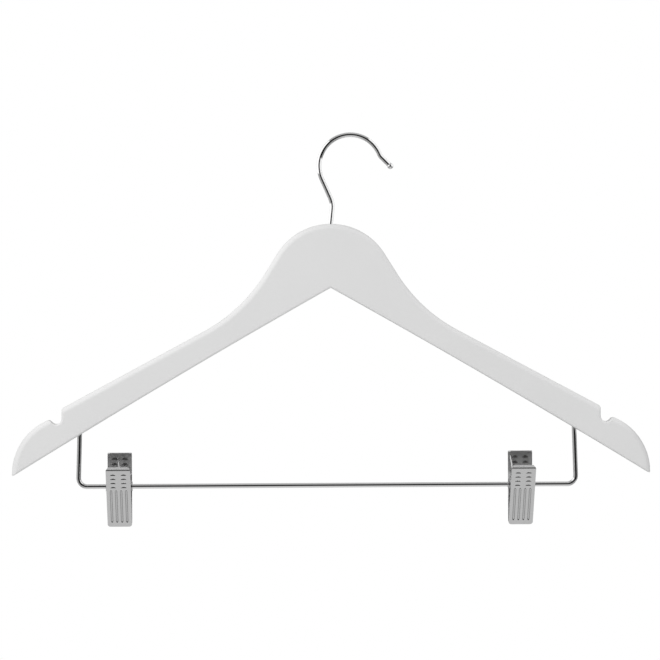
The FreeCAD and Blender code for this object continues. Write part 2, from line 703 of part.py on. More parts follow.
def biarc(start, start_way, end, end_way):
    """Two arcs that join two points along the given ways."""
    gap = end - start
    ways = start_way + end_way
    spread = 2 * (1 - start_way.dot(end_way))
    along = gap.dot(ways)
    reach = (-along + math.sqrt(along**2 + spread * gap.dot(gap))) / spread
    joint = (start + end + (start_way - end_way) * reach) * 0.5
    first, way = arc_on(start, start_way, joint)
    second, way = arc_on(joint, way, end)
    return [first, second]


def make_spring(label, placement, shift):
    """One unbroken wire with crossed legs, so that closing the handles winds it up."""
    wire = dim.spring_wire / 2
    radius = tube_outside + dim.spring_clearance + wire
    climb = dim.spring_wire + dim.spring_gap
    stand_off = pivot_depth - wire - dim.leg_clearance
    leg_end = Rotation(Vector(0, 0, 1), -dim.jaw_half_angle).multVec(
        Vector(stand_off, jaw_head - dim.leg_short, 0))
    lean = math.degrees(math.atan2(leg_end.y, leg_end.x))
    touch = lean + math.degrees(math.acos(radius / leg_end.Length))
    leg_run = math.sqrt(leg_end.Length**2 - radius**2)
    wound = 360 * dim.spring_turns + 360 + 2 * (90 - touch)
    length = climb * wound / 360

    def on_coil(angle):
        across = polar(touch + angle, radius)
        return Vector(shift - length / 2 + climb * angle / 360, across.x, across.y)

    def way_on_coil(angle):
        across = polar(touch + angle + 90, radius * 2 * math.pi / 360)
        return Vector(climb / 360, across.x, across.y).normalize()

    half_turns = math.ceil(wound / 180)
    angles = [wound * step / half_turns for step in range(half_turns + 1)]
    slope = math.cos(math.atan2(climb, 2 * math.pi * radius))
    leg = leg_run / slope
    tail = on_coil(0) - way_on_coil(0) * leg
    head = on_coil(wound) + way_on_coil(wound) * leg
    curves = [Part.LineSegment(tail, on_coil(0))]
    for here, there in zip(angles, angles[1:]):
        curves += biarc(on_coil(here), way_on_coil(here), on_coil(there), way_on_coil(there))
    curves.append(Part.LineSegment(on_coil(wound), head))
    path = Part.Wire([curve.toShape() for curve in curves])
    section = Part.Wire(Part.Circle(tail, way_on_coil(0), wire).toShape())
    feature = doc.addObject("Part::Feature", label)
    feature.Label = label
    feature.Shape = path.makePipeShell([section], True, False)
    feature.Placement = placement
    nodes.append(feature)
    print(f"{label}: least gap to itself {least_gap(path, dim.spring_wire):.2f} mm")


def least_gap(path, diameter):
    """The least distance between stretches of a wire that lie over a half turn apart along it."""
    points = path.discretize(Distance=diameter / 2)
    apart = math.ceil(4 * math.pi)
    gaps = [p.distanceToPoint(q) for i, p in enumerate(points) for q in points[i + apart:]]
    return min(gaps) - diameter


def make_clip(side_name, place, spring_shift):
    """One clip, turned so that its back jaw stands upright behind the bar."""
    pivot = Vector(place, 0, bar_level)
    front = Placement(pivot, Rotation(Vector(1, 0, 0), 2 * dim.jaw_half_angle))
    back = Placement(pivot, Rotation(Vector(0, 0, 1), 180))
    between = Placement(pivot, Rotation(Vector(1, 0, 0), dim.jaw_half_angle))
    make_jaw(side_name + "_front_jaw", front, 0.0)
    make_jaw(side_name + "_back_jaw", back, dim.jaw_sheet + dim.ear_gap)
    make_pad(side_name + "_front_pad", front)
    make_pad(side_name + "_back_pad", back)
    make_pivot_tube(side_name + "_pivot_tube", pivot)
    make_spring(side_name + "_spring", between, spring_shift)


make_arm("left_arm", LEFT)
make_arm("right_arm", RIGHT)
make_hook()
make_bush()
make_bar()
make_clip("left", bar_leg(LEFT)[0].x + dim.left_clip_inset, dim.left_spring_shift)
make_clip("right", bar_leg(RIGHT)[0].x - dim.right_clip_inset, dim.right_spring_shift)
doc.recompute()

for item in doc.Objects:
    if "Invalid" in item.State or "Error" in item.State:
        raise RuntimeError(f"{item.Label} failed: {item.State}")
for node in nodes:
    if node.Shape.isNull() or not node.Shape.isValid() or len(node.Shape.Solids) != 1:
        raise RuntimeError(f"{node.Label} is not one sound solid")

os.makedirs("parts", exist_ok=True)
for node in nodes:
    node.Shape.exportStep(f"parts/{node.Label}.step")
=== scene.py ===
import json
import math

import bpy
from mathutils import Matrix, Vector
from mathutils.geometry import intersect_line_line_2d


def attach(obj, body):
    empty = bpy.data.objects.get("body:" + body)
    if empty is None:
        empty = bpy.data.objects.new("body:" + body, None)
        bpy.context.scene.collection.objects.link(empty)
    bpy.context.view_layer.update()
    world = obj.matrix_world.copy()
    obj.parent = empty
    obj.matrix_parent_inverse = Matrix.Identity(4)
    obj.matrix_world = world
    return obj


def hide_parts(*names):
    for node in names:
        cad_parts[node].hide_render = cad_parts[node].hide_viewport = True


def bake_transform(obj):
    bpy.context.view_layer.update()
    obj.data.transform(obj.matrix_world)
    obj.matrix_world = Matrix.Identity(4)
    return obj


# Skirt hanger: white lacquered wooden arms, a chromed hook and bar, and two spring clips.
# Metres, in the frame of the solids: X to the right, Y to the back, Z up.
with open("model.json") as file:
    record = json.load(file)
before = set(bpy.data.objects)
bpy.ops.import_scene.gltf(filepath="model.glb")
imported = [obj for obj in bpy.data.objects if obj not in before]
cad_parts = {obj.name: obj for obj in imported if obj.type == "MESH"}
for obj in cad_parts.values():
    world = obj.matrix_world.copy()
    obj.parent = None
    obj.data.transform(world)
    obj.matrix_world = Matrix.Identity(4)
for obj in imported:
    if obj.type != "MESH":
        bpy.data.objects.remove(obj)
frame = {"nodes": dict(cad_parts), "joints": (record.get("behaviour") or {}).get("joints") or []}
bpy.context.view_layer.update()
nodes = frame["nodes"]
joints = {joint["name"]: joint for joint in frame["joints"]}

SIDES = ("left", "right")
MM = 0.001
TINY = 0.01 * MM
CREST = joints["hook_swivel"]["pos_m"][2]

# Photograph: one pixel on the hanger's plane, and the camera that took it
IMAGE_PIXELS = 660
PIXEL = 0.6975 * MM
CAMERA_DISTANCE = 2.2
CAMERA_ASIDE = -55.0 * MM
AIM_X = -0.75 * MM
AIM_Z = -129.0 * MM
CAMERA_ROLL = math.radians(0.27)

# Clips: a jaw is drawn upright in front of its pivot, at the pivot's middle
JAW_HALF_ANGLE = math.radians(18.5)
TIP_GAP = 0.3 * MM
PIVOT_HEIGHT = 27.9 * MM
PIVOT_DEPTH = PIVOT_HEIGHT * math.tan(JAW_HALF_ANGLE) + TIP_GAP / math.cos(JAW_HALF_ANGLE)
HANDLE_HEIGHT = 23.1 * MM
JAW_TURN = {"front": Matrix.Rotation(2 * JAW_HALF_ANGLE, 4, "X"), "back": Matrix.Rotation(math.pi, 4, "Z")}
SPRING_TURN = Matrix.Rotation(JAW_HALF_ANGLE, 4, "X")

# Plating of the upright jaw, with its painted light and shade: how far faces turn in or out, and where the
# louvres and dimples are
TURNED_IN = (0.05, 0.35)
TURNED_OUT = (-0.35, -0.05)
PRESSED_SIDE = (6.5 * MM, 7.0 * MM)
PRESSED_TOP = (HANDLE_HEIGHT - 3.5 * MM, HANDLE_HEIGHT - 3.0 * MM)
PRESSED_FOOT = (2.5 * MM - PIVOT_HEIGHT, 3.0 * MM - PIVOT_HEIGHT)
HOOD_DEPTH = (0.1 * MM - PIVOT_DEPTH, 0.5 * MM - PIVOT_DEPTH)
DIMPLE_DEPTH = (-0.36 * MM - PIVOT_DEPTH, -0.24 * MM - PIVOT_DEPTH)

# Torsion springs
SPRING_WIRE = 1.0 * MM
COIL_RADIUS = 2.9 * MM
COIL_CLIMB = 1.5 * MM
SPRING_TURNS = 2
LEG_SHORT = 3.5 * MM
LEG_CLEARANCE = 0.1 * MM
WIRE_SIDES = 20
COIL_STEPS = 140
SPRING_CREASE = math.radians(40)
SPRING_SHIFT = {"left": 2.9 * MM, "right": -2.9 * MM}

# Grip pads
PAD_WIDTH = 15.0 * MM
PAD_START = 1.0 * MM
PAD_LENGTH = 8.0 * MM
PAD_GAP = 0.2 * MM
GROOVES = 4
GROOVE_WIDTH = 0.7 * MM
GROOVE_DEPTH = 0.3 * MM
PAD_ROUND = 0.1 * MM
PAD_EDGE = math.radians(25)
PAD_CREASE = math.radians(35)

# Floor
FLOOR_RADIUS = 0.36
FLOOR_LEVEL = -0.4
FLOOR_SIDES = 128

# Room that the metal mirrors: ranges of a direction's X, Y or Z, and how bright each place is
DARK_ASIDE = 0.20
DARK_WIDTH = (0.66, 0.78)
DARK_WAY = (0.2, 0.5)
DARK_TOP = (0.46, 0.84)
DARK_FOOT = (-0.50, -0.30)
BACK_WALL = (-0.1, 0.5)
GROUND = (0.45, 0.85)
GROUND_SIDES = (0.12, 0.6)
CEILING = (0.75, 0.95)
DARK_GLOW = 0.01
WALL_GLOW = 0.42
BACK_GLOW = 0.20
CEILING_GLOW = 0.12
GROUND_GLOW = 0.72
GROUND_FADE = 0.40

# Light
FILL_LIGHT = 0.775
KEY_PLACE = Vector((-1.48, -1.58, 1.04))
KEY_AIM = Vector((0, 0, -0.15))
KEY_SIZE = 2.2
KEY_POWER = 25
CARD_ASIDE = {"left": -0.35, "right": 0.35}
CARD_HEIGHT = 0.20
CARD_SIZE = (1.2, 0.56)
CARD_GLOW = 0.85

# Arms, to the sizes of the solids
ARM_SLOPE = {"left": math.radians(-29.5), "right": math.radians(29.5)}
ARM_THICKNESS = 12.0 * MM
HALF_WIDTH = 222.5 * MM
HUMP_RADIUS = 44.2 * MM
FLANK_SLOPE = math.radians(58.0)
FLANK_RUN = 46.7 * MM
SWAY_RADIUS = 112.0 * MM
SHOULDER_SLOPE = math.radians(28.2)
NOTCH_INSET = 34.7 * MM
NOTCH_DEPTH = 10.9 * MM
NOTCH_ROOT = 3.9 * MM
NOTCH_WIDTH = 8.7 * MM
NOTCH_FLARE = math.radians(45.0)
END_RADIUS = 41.0 * MM
TIP_DROP = 47.3 * MM
APEX_DROP = 44.5 * MM
LOWER_BOW = 1.3 * MM
UPPER_ROUND = 4.0 * MM
LOWER_ROUND = 1.5 * MM
ROUND_SEGMENTS = 8
ARM_CREASE = math.radians(30)
HUMP_STEPS = 24
SWAY_STEPS = 16
ROOT_STEPS = 16
END_STEPS = 28
END_SPARE = 3
LOWER_STEPS = 20
TONGUE_LENGTH = 10.0 * MM
# A hair thinner than the solid's, so that its faces miss the rounding's rows of points
TONGUE_THICKNESS = 3.9 * MM
NECK_BORE = 3.02 * MM
NECK_BORE_DEPTH = 16.4 * MM
BORE_SIDES = 48
BAR_DROP = 182.3 * MM
BAR_CORNER = {"left": 176.5 * MM, "right": 170.7 * MM}
LEG_SPLAY = math.radians(1.7)
LEG_DEPTH = 15.02 * MM
LEG_BORE = 1.62 * MM


class Socket:
    """An output socket that Python's operators add Math nodes to."""

    def __init__(self, graph, socket):
        self.graph = graph
        self.socket = socket

    def math(self, operation, *others):
        sockets = dict(enumerate((self, *others)))
        return self.graph.add("ShaderNodeMath", sockets, operation=operation)["Value"]

    def __add__(self, other):
        return self.math("ADD", other)

    def __mul__(self, other):
        return self.math("MULTIPLY", other)

    def __sub__(self, other):
        return self.math("SUBTRACT", other)

    def __rsub__(self, other):
        return (self * -1.0) + other

    __radd__ = __add__
    __rmul__ = __mul__


class Made:
    """A node whose outputs are read by name."""

    def __init__(self, graph, node):
        self.graph = graph
        self.node = node

    def __getitem__(self, name):
        return Socket(self.graph, self.node.outputs[name])


class Graph:
    """The nodes of one material, or of the world."""

    def __init__(self, owner):
        owner.use_nodes = True
        self.tree = owner.node_tree
        self.tree.nodes.clear()

    def add(self, kind, sockets=None, **settings):
        """One node: its settings first, then the values or links of its sockets."""
        node = self.tree.nodes.new(kind)
        for name, value in settings.items():
            setattr(node, name, value)
        for name, value in (sockets or {}).items():
            if isinstance(value, Socket):
                self.tree.links.new(value.socket, node.inputs[name])
            else:
                node.inputs[name].default_value = value
        return Made(self, node)


def new_material(name):
    """An empty material and its graph."""
    material = bpy.data.materials.new(name)
    return material, Graph(material)


def grey(level):
    """An opaque neutral colour."""
    return (level, level, level, 1.0)


def noise(graph, scale, stretch=(1, 1, 1), turn=(0, 0, 0), detail=3.0):
    """Noise on the piece's own coordinates, stretched along turned axes."""
    place = graph.add("ShaderNodeTexCoord")["Object"]
    turned = graph.add("ShaderNodeMapping", {"Vector": place, "Rotation": turn})["Vector"]
    drawn = graph.add("ShaderNodeMapping", {"Vector": turned, "Scale": stretch})["Vector"]
    return graph.add("ShaderNodeTexNoise", {"Vector": drawn, "Scale": scale, "Detail": detail})["Fac"]


def mix(graph, factor, first, second):
    """A colour between two colours."""
    sockets = {"Factor": factor, "A": first, "B": second}
    return graph.add("ShaderNodeMix", sockets, data_type="RGBA")["Result"]


def eased(graph, value, between, start, end):
    """A value that goes from start to end over a range of another value."""
    low, high = between
    sockets = {"Value": value, "From Min": low, "From Max": high, "To Min": start, "To Max": end}
    return graph.add("ShaderNodeMapRange", sockets, interpolation_type="SMOOTHSTEP")["Result"]


def above(graph, value, between):
    """A mask that is 0 below a range of a value and 1 above it."""
    return eased(graph, value, between, 0.0, 1.0)


def under(graph, value, between):
    """A mask that is 1 below a range of a value and 0 above it."""
    return eased(graph, value, between, 1.0, 0.0)


def finish_material(graph, **values):
    """The surface shader and the output; names have underscores for spaces."""
    sockets = {name.replace("_", " "): value for name, value in values.items()}
    shader = graph.add("ShaderNodeBsdfPrincipled", sockets)["BSDF"]
    graph.add("ShaderNodeOutputMaterial", {"Surface": shader})


def bump(graph, height, strength, distance):
    """A normal from a height."""
    sockets = {"Height": height, "Strength": strength, "Distance": distance}
    return graph.add("ShaderNodeBump", sockets)["Normal"]


def white_lacquer(side):
    """Satin white lacquer over wood: faint grain along the arm and a slightly uneven coat."""
    material, graph = new_material(f"white_lacquer_{side}")
    along_arm = (0.0, ARM_SLOPE[side], 0.0)
    grain = noise(graph, scale=40.0, stretch=(2.0, 40.0, 40.0), turn=along_arm, detail=5.0)
    clouds = noise(graph, scale=18.0, detail=2.0)
    colour = mix(graph, clouds, grey(0.72), grey(0.75))
    rough = 0.34 + 0.08 * clouds
    normal = bump(graph, grain, strength=0.12, distance=0.05 * MM)
    finish_material(graph, Base_Color=colour, Roughness=rough, Normal=normal)
    return material


def chrome_wire():
    """Bright plating on drawn wire."""
    material, graph = new_material("chrome_wire")
    cloud = noise(graph, scale=300.0)
    finish_material(graph, Base_Color=grey(0.8), Metallic=1.0, Roughness=0.06 + 0.04 * cloud)
    return material


def plated_tube():
    """Dull plating on drawn tube."""
    material, graph = new_material("plated_tube")
    cloud = noise(graph, scale=220.0)
    finish_material(graph, Base_Color=grey(0.66), Metallic=1.0, Roughness=0.22 + 0.10 * cloud)
    return material


def plated_steel(side, jaw):
    """Plating on a pressed jaw: even outside, duller inside, with painted light lifting the colour of the
    inner faces and painted shade in the louvres and dimples.
    """
    material, graph = new_material(f"plated_steel_{side}_{jaw}")
    source = graph.add("ShaderNodeTexCoord")
    turn = {"Rotation": JAW_TURN[jaw].to_euler()}
    upright = {"Vector": source["Object"], "Location": pivot_of(side), **turn}
    place = graph.add("ShaderNodeMapping", upright, vector_type="TEXTURE")["Vector"]
    facing = {"Vector": source["Normal"], **turn}
    way = graph.add("ShaderNodeMapping", facing, vector_type="TEXTURE")["Vector"]
    split = graph.add("ShaderNodeSeparateXYZ", {"Vector": place})
    depth = split["Y"]
    height = split["Z"]
    aside = split["X"].math("ABSOLUTE")
    inwards = graph.add("ShaderNodeSeparateXYZ", {"Vector": way})["Y"]
    inside = above(graph, inwards, TURNED_IN)
    outside = under(graph, inwards, TURNED_OUT)
    pressed = under(graph, aside, PRESSED_SIDE)
    pressed = pressed * under(graph, height, PRESSED_TOP) * above(graph, height, PRESSED_FOOT)
    # painted shade: the hoods, the side walls of the louvres and the dimples are marked out for a dark
    # colour that stands in for the shade in them
    hood_painted_shade = (1.0 - outside) * above(graph, depth, HOOD_DEPTH) * pressed
    wall_painted_shade = (1.0 - outside) * (1.0 - inside) * pressed
    dimple_painted_shade = outside * above(graph, depth, DIMPLE_DEPTH)
    cloud = noise(graph, scale=220.0)
    fine = noise(graph, scale=2500.0)
    outer = mix(graph, cloud, grey(0.64), grey(0.72))
    # painted light: the faces that turn inwards get a lighter colour than the outer ones, and they are also
    # rougher
    inside_painted_light = mix(graph, inside, outer, grey(0.8))
    # painted shade: dark grey in the louvres and dimples
    colour = mix(graph, hood_painted_shade + wall_painted_shade + dimple_painted_shade, inside_painted_light, grey(0.13))
    rough = 0.22 + 0.10 * cloud + 0.24 * inside
    normal = bump(graph, fine, strength=0.1, distance=0.02 * MM)
    finish_material(graph, Base_Color=colour, Metallic=1.0, Roughness=rough, Normal=normal)
    return material


def spring_steel():
    """Bright drawn spring wire."""
    material, graph = new_material("spring_steel")
    cloud = noise(graph, scale=900.0)
    finish_material(graph, Base_Color=grey(0.75), Metallic=1.0, Roughness=0.14 + 0.1 * cloud)
    return material


def bush_steel():
    """Plain turned steel."""
    material, graph = new_material("bush_steel")
    rings = noise(graph, scale=500.0, stretch=(1, 1, 20))
    finish_material(graph, Base_Color=grey(0.6), Metallic=1.0, Roughness=0.25 + 0.15 * rings)
    return material


def black_rubber():
    """Matt rubber."""
    material, graph = new_material("black_rubber")
    grain = noise(graph, scale=1800.0)
    normal = bump(graph, grain, strength=0.3, distance=0.05 * MM)
    colour = mix(graph, grain, grey(0.02), grey(0.035))
    finish_material(graph, Base_Color=colour, Roughness=0.7 + 0.2 * grain, Normal=normal)
    return material


def pale_floor():
    """Plain pale board under the hanger."""
    material, graph = new_material("pale_floor")
    cloud = noise(graph, scale=6.0)
    finish_material(graph, Base_Color=mix(graph, cloud, grey(0.70), grey(0.72)), Roughness=0.8)
    return material


def deselect_all():
    """Leave nothing selected, because operators act on all that is."""
    bpy.ops.object.select_all(action="DESELECT")


def select_where(piece, test):
    """Select the vertices of a piece that pass a test on their place, and nothing else."""
    bpy.ops.object.mode_set(mode="EDIT")
    bpy.ops.mesh.select_mode(type="VERT")
    bpy.ops.mesh.select_all(action="DESELECT")
    bpy.ops.object.mode_set(mode="OBJECT")
    for vertex in piece.data.vertices:
        vertex.select = test(vertex.co)
    bpy.ops.object.mode_set(mode="EDIT")


def pick(piece, test):
    """Select the faces of a piece whose middle and normal pass a test, and nothing else."""
    bpy.ops.object.mode_set(mode="EDIT")
    bpy.ops.mesh.select_mode(type="FACE")
    bpy.ops.mesh.select_all(action="DESELECT")
    bpy.ops.object.mode_set(mode="OBJECT")
    for face in piece.data.polygons:
        face.select = test(face.center, face.normal)
    bpy.ops.object.mode_set(mode="EDIT")


def set_down(piece, matrix):
    """Put a piece in its place, with the place in its mesh."""
    deselect_all()
    piece.select_set(True)
    bpy.context.view_layer.objects.active = piece
    piece.matrix_world = matrix
    bpy.ops.object.transform_apply(location=True, rotation=True, scale=True)


def copy_of(master, name, matrix):
    """A copy of a piece with a mesh of its own, set down in its place."""
    piece = master.copy()
    piece.data = master.data.copy()
    piece.name = name
    bpy.context.collection.objects.link(piece)
    set_down(piece, matrix)
    return piece


def polar(angle, length=1.0):
    """A run at an angle, on the plane of the arms."""
    return Vector((math.cos(angle), math.sin(angle))) * length


def bend(start, end, radius, steps):
    """Points of the lesser arc between two points, turning right, or left for a negative radius."""
    chord = end - start
    across = Vector((chord.y, -chord.x)).normalized()
    height = math.sqrt(radius**2 - chord.length_squared / 4)
    centre = (start + end) / 2 + across * math.copysign(height, radius)
    first, last = (math.atan2(p.y - centre.y, p.x - centre.x) for p in (start, end))
    turn = (last - first + math.pi) % (2 * math.pi) - math.pi
    return [centre + polar(first + turn * step / steps, abs(radius)) for step in range(steps + 1)]


def arm_outline():
    """The right arm's upper edge, notch, end and lower edge, in turn from the crest round to the apex."""
    crest = Vector((0.0, CREST))
    apex = crest - Vector((0.0, APEX_DROP))
    hump_end = crest - Vector((0.0, HUMP_RADIUS)) + polar(math.pi / 2 - FLANK_SLOPE, HUMP_RADIUS)
    corner = hump_end + polar(-FLANK_SLOPE, FLANK_RUN)
    sway = SWAY_RADIUS * math.tan((FLANK_SLOPE - SHOULDER_SLOPE) / 2)
    run = HALF_WIDTH - NOTCH_INSET - corner.x
    inner_lip = corner + Vector((run, -run * math.tan(SHOULDER_SLOPE)))
    tip = inner_lip + Vector((NOTCH_INSET, -TIP_DROP))
    root = inner_lip + Vector((NOTCH_ROOT, NOTCH_ROOT - NOTCH_DEPTH))
    root_end = root + polar(NOTCH_FLARE - math.pi / 2, NOTCH_ROOT)
    flare_run = inner_lip.x + NOTCH_WIDTH - root_end.x
    outer_lip = root_end + Vector((flare_run, flare_run * math.tan(NOTCH_FLARE)))
    lower_radius = (tip - apex).length_squared / (8 * LOWER_BOW) + LOWER_BOW / 2
    sway_start = corner - polar(-FLANK_SLOPE, sway)
    sway_end = corner + polar(-SHOULDER_SLOPE, sway)
    upper = bend(crest, hump_end, HUMP_RADIUS, HUMP_STEPS)
    upper += bend(sway_start, sway_end, -SWAY_RADIUS, SWAY_STEPS)
    root_start = root - Vector((NOTCH_ROOT, 0.0))
    notch = [inner_lip, *bend(root_start, root_end, -NOTCH_ROOT, ROOT_STEPS), outer_lip]
    # the points next to the lip and the tip are left out, to leave room for their rounding
    end = bend(outer_lip, tip, END_RADIUS, END_STEPS)[END_SPARE:-END_SPARE]
    lower = bend(tip, apex, -lower_radius, LOWER_STEPS)
    return upper, notch, end, lower


def make_arm():
    """The right arm: its outline filled and drawn out to its thickness, then the edges rounded."""
    upper, notch, end, lower = arm_outline()
    outline = upper + notch + end + lower
    deselect_all()
    bpy.ops.mesh.primitive_circle_add(vertices=len(outline), fill_type="NGON")
    piece = bpy.context.object
    for vertex, place in zip(piece.data.vertices, outline):
        vertex.co = (place.x, -ARM_THICKNESS / 2, place.y)
    bpy.ops.object.mode_set(mode="EDIT")
    bpy.ops.mesh.select_all(action="SELECT")
    bpy.ops.mesh.extrude_region_move(TRANSFORM_OT_translate={"value": (0, ARM_THICKNESS, 0)})
    bpy.ops.mesh.select_all(action="SELECT")
    bpy.ops.mesh.normals_make_consistent(inside=False)
    bpy.ops.object.mode_set(mode="OBJECT")
    small_middles = [(p + q) / 2 for run in (notch, lower) for p, q in zip(run, run[1:])]
    corners = (notch[0], notch[-1], lower[0])
    weights = piece.data.attributes.new("bevel_weight_edge", "FLOAT", "EDGE")
    for edge in piece.data.edges:
        ends = [piece.data.vertices[number].co for number in edge.vertices]
        middle = Vector(((ends[0].x + ends[1].x) / 2, (ends[0].z + ends[1].z) / 2))
        crosses = abs(ends[0].y - ends[1].y) > TINY
        spots = corners if crosses else small_middles
        near = any((middle - spot).length < TINY for spot in spots)
        joint = abs(middle.x) < TINY
        if near:
            weights.data[edge.index].value = LOWER_ROUND / UPPER_ROUND
        elif not crosses and not joint:
            weights.data[edge.index].value = 1.0
    rounding = piece.modifiers.new("rounding", "BEVEL")
    rounding.limit_method = "WEIGHT"
    rounding.width = UPPER_ROUND
    rounding.segments = ROUND_SEGMENTS
    rounding.use_clamp_overlap = False
    bpy.ops.object.modifier_apply(modifier="rounding")
    return piece


def carve(piece, tool, operation):
    """Cut a piece with a tool, join them or keep what they share; the tool is used up."""
    deselect_all()
    piece.select_set(True)
    bpy.context.view_layer.objects.active = piece
    cut = piece.modifiers.new("cut", "BOOLEAN")
    cut.operation = operation
    cut.object = tool
    cut.solver = "EXACT"
    bpy.ops.object.modifier_apply(modifier="cut")
    bpy.data.objects.remove(tool)


def slot_block():
    """The room of the tongue in the middle joint."""
    deselect_all()
    bpy.ops.mesh.primitive_cube_add(size=1.0, location=(TONGUE_LENGTH / 2, 0, CREST - APEX_DROP / 2))
    block = bpy.context.object
    block.scale = (TONGUE_LENGTH, TONGUE_THICKNESS, 2 * APEX_DROP)
    bpy.ops.object.transform_apply(location=True, rotation=True, scale=True)
    return block


def bore_rod(radius, start, end):
    """A rod the size of a bore."""
    deselect_all()
    run = end - start
    bpy.ops.mesh.primitive_cylinder_add(
        vertices=BORE_SIDES, radius=radius, depth=run.length, location=(start + end) / 2,
        rotation=run.to_track_quat("Z", "Y").to_euler())
    rod = bpy.context.object
    bpy.ops.object.transform_apply(location=True, rotation=True, scale=True)
    return rod


def leg_rod(side):
    """A rod the size of the bore that one leg of the bar is glued into."""
    lower = arm_outline()[-1]
    corner = Vector((BAR_CORNER[side], CREST - BAR_DROP))
    way = polar(math.pi / 2 + LEG_SPLAY)
    entry = intersect_line_line_2d(corner, corner + way * BAR_DROP, lower[0], lower[-1])
    inside_painted_light, outer = next((q, p) for p, q in zip(lower, lower[1:]) if q.x <= entry.x <= p.x)
    rim = inside_painted_light.lerp(outer, (entry.x - inside_painted_light.x) / (outer.x - inside_painted_light.x))
    outwards = math.copysign(1.0, ARM_SLOPE[side])
    foot, top = (Vector((outwards * p.x, 0, p.y)) for p in (rim - way * LEG_DEPTH, rim + way * LEG_DEPTH))
    return bore_rod(LEG_BORE, foot, top)


def pivot_of(side):
    """The middle of a clip's pivot."""
    return Vector(joints[f"{side}_clip_swing"]["pos_m"])


def make_spring():
    """A torsion spring round the X axis: a ring of wire section, wound up, its ends drawn out into legs."""
    wire = SPRING_WIRE / 2
    stand_off = PIVOT_DEPTH - wire - LEG_CLEARANCE
    handle = Matrix.Rotation(-JAW_HALF_ANGLE, 2) @ Vector((stand_off, HANDLE_HEIGHT - LEG_SHORT))
    touch = math.atan2(handle.y, handle.x) + math.acos(COIL_RADIUS / handle.length)
    wound = 2 * math.pi * (SPRING_TURNS + 1) + math.pi - 2 * touch
    length = COIL_CLIMB * wound / (2 * math.pi)
    climb_angle = math.atan2(COIL_CLIMB, 2 * math.pi * COIL_RADIUS)
    leg = math.sqrt(handle.length**2 - COIL_RADIUS**2) / math.cos(climb_angle)

    def on_coil(angle):
        place = Vector((COIL_CLIMB * angle / (2 * math.pi) - length / 2,
                        COIL_RADIUS * math.cos(touch + angle), COIL_RADIUS * math.sin(touch + angle)))
        way = Vector((math.sin(climb_angle), -math.cos(climb_angle) * math.sin(touch + angle),
                      math.cos(climb_angle) * math.cos(touch + angle)))
        return place, way

    tail, tail_way = on_coil(0.0)
    head, head_way = on_coil(wound)
    deselect_all()
    bpy.ops.mesh.primitive_circle_add(
        vertices=WIRE_SIDES, radius=wire, location=tail,
        rotation=tail_way.to_track_quat("Z", "X").to_euler())
    piece = bpy.context.object
    bpy.ops.object.transform_apply(location=True, rotation=True, scale=True)
    turns = piece.modifiers.new("turns", "SCREW")
    turns.axis = "X"
    turns.angle = wound
    turns.screw_offset = length
    turns.steps = COIL_STEPS
    turns.render_steps = COIL_STEPS
    bpy.ops.object.modifier_apply(modifier="turns")
    reach, slack, end_round = 1.02 * wire, 0.02 * wire, 0.25 * wire
    for end, way in ((tail, -tail_way), (head, head_way)):
        select_where(piece, lambda co: (co - end).length < reach and abs((co - end).dot(way)) < slack)
        bpy.ops.mesh.extrude_region_move(TRANSFORM_OT_translate={"value": way * leg})
        bpy.ops.mesh.edge_face_add()
        bpy.ops.mesh.bevel(offset=end_round, segments=2)
    bpy.ops.mesh.select_all(action="SELECT")
    bpy.ops.mesh.normals_make_consistent(inside=False)
    bpy.ops.object.mode_set(mode="OBJECT")
    bpy.ops.object.shade_smooth_by_angle(angle=SPRING_CREASE)
    return piece, length


def make_pad():
    """A ribbed rubber wedge in an upright jaw: a block, its free face tilted, with grooves pressed in."""
    block_depth = 1.0
    low = -PIVOT_HEIGHT + PAD_START
    high = low + PAD_LENGTH
    back_off = PAD_GAP / 2 / math.cos(JAW_HALF_ANGLE)
    face_low, face_high = (z * math.tan(JAW_HALF_ANGLE) - back_off for z in (low, high))
    deselect_all()
    bpy.ops.mesh.primitive_cube_add(size=1.0, location=(0, block_depth / 2 - PIVOT_DEPTH, (low + high) / 2))
    piece = bpy.context.object
    piece.scale = (PAD_WIDTH, block_depth, PAD_LENGTH)
    bpy.ops.object.transform_apply(location=True, rotation=True, scale=True)
    for z, face in ((low, face_low), (high, face_high)):
        select_where(piece, lambda co: co.y > block_depth / 2 - PIVOT_DEPTH and abs(co.z - z) < TINY)
        bpy.ops.transform.translate(value=(0, face - (block_depth - PIVOT_DEPTH), 0))
        bpy.ops.object.mode_set(mode="OBJECT")
    pitch = PAD_LENGTH / (GROOVES + 0.5)
    middles = [high - pitch * (number + 0.5) for number in range(GROOVES)]
    bpy.ops.object.mode_set(mode="EDIT")
    for middle in middles:
        for edge in (-GROOVE_WIDTH / 2, GROOVE_WIDTH / 2):
            bpy.ops.mesh.select_all(action="SELECT")
            bpy.ops.mesh.bisect(plane_co=(0, 0, middle + edge), plane_no=(0, 0, 1))
    bpy.ops.object.mode_set(mode="OBJECT")

    def in_groove(centre, normal):
        return normal.y > 0.5 and any(abs(centre.z - middle) < GROOVE_WIDTH / 4 for middle in middles)

    pick(piece, in_groove)
    bpy.ops.mesh.extrude_region_move(TRANSFORM_OT_translate={"value": (0, -GROOVE_DEPTH, 0)})
    bpy.ops.object.mode_set(mode="OBJECT")
    soft_edges = piece.modifiers.new("soft_edges", "BEVEL")
    soft_edges.width = PAD_ROUND
    soft_edges.segments = 3
    soft_edges.limit_method = "ANGLE"
    soft_edges.angle_limit = PAD_EDGE
    bpy.ops.object.modifier_apply(modifier="soft_edges")
    bpy.ops.object.shade_smooth_by_angle(angle=PAD_CREASE)
    return piece


# Finishes of the solids that show
chrome = chrome_wire()
tube_plating = plated_tube()
finishes = {"hook": chrome, "skirt_bar": chrome, "hook_bush": bush_steel()}
for side in SIDES:
    finishes[f"{side}_pivot_tube"] = tube_plating
    for jaw in JAW_TURN:
        finishes[f"{side}_{jaw}_jaw"] = plated_steel(side, jaw)
for name, finish in finishes.items():
    nodes[name].material_slots[0].material = finish

